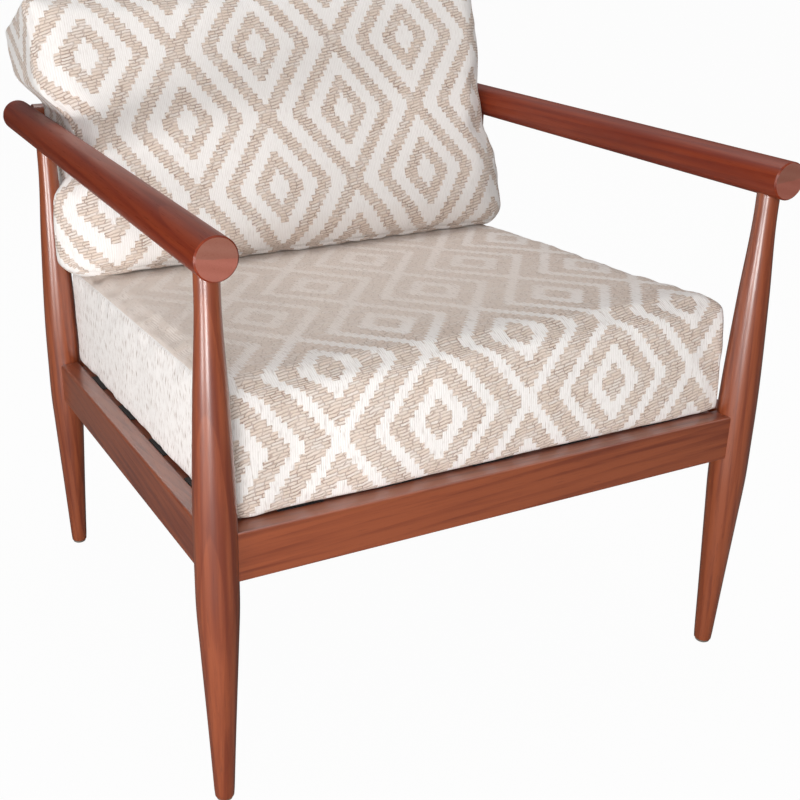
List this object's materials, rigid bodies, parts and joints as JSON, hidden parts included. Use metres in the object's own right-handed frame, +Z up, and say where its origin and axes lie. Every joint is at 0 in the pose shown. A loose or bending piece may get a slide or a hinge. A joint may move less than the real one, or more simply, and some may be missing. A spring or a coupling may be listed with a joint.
{
  "type": "easy chair",
  "caption": "Open-arm wooden easy chair: turned legs, round arms, raked seat frame with woven webbing, spindle back, and loose boxed seat and back cushions in a lozenge weave.",
  "frame": {"origin": "on the floor, at the middle of the chair's plan box", "axes": "+Z up, -Y the way the sitter faces, +X towards the arm on the right seen from the front"},
  "size_m": [0.6826, 0.748, 0.7509],
  "materials": {
    "frame_wood": "satin lacquer",
    "arm_upper_wood": "satin lacquer",
    "arm_lower_wood": "satin lacquer",
    "cleat_wood": "unfinished",
    "webbing": "ribbed elastic web",
    "felt": "felt",
    "seat_weave": "jacquard weave",
    "back_weave": "jacquard weave",
    "foam": "open-cell foam",
    "zip_tape": "woven tape",
    "zip_metal": "worn"
  },
  "bodies": {
    "frame": {"back_crossbar": "frame_wood", "cross_strap_1": "webbing", "cross_strap_2": "webbing", "cross_strap_3": "webbing", "cross_strap_4": "webbing", "front_cleat": "cleat_wood", "front_left_leg": "frame_wood", "front_rail": "frame_wood", "front_right_leg": "frame_wood", "left_arm_lower": "arm_lower_wood", "left_arm_upper": "arm_upper_wood", "left_cleat": "cleat_wood", "left_rail": "frame_wood", "leg_glides": "felt", "long_strap_1": "webbing", "long_strap_2": "webbing", "long_strap_3": "webbing", "long_strap_4": "webbing", "long_strap_5": "webbing", "rear_cleat": "cleat_wood", "rear_left_leg": "frame_wood", "rear_rail": "frame_wood", "rear_right_leg": "frame_wood", "right_arm_lower": "arm_lower_wood", "right_arm_upper": "arm_upper_wood", "right_cleat": "cleat_wood", "right_rail": "frame_wood", "spindle_1": "frame_wood", "spindle_2": "frame_wood", "spindle_3": "frame_wood", "spindle_4": "frame_wood", "spindle_5": "frame_wood", "spindle_6": "frame_wood"},
    "seat_cushion": {"seat_cushion_cover": "seat_weave", "seat_cushion_foam": "foam", "seat_zip_tape": "zip_tape"},
    "seat_zip_slider": {"seat_zip_slider": "zip_metal"},
    "back_cushion": {"back_cushion_cover": "back_weave", "back_cushion_foam": "foam"}
  },
  "joints": [
    {"name": "seat_cushion_slide", "type": "slide", "parent": "frame", "child": "seat_cushion", "axis": [0, -0.9984, 0.0562], "range_m": [0, 0.62]},
    {"name": "back_cushion_lift", "type": "slide", "parent": "frame", "child": "back_cushion", "axis": [0, 0.3827, 0.9239], "range_m": [0, 0.3]},
    {"name": "seat_zip_slide", "type": "slide", "parent": "seat_cushion", "child": "seat_zip_slider", "axis": [-1, 0, 0], "range_m": [0, 0.425]}
  ]
}
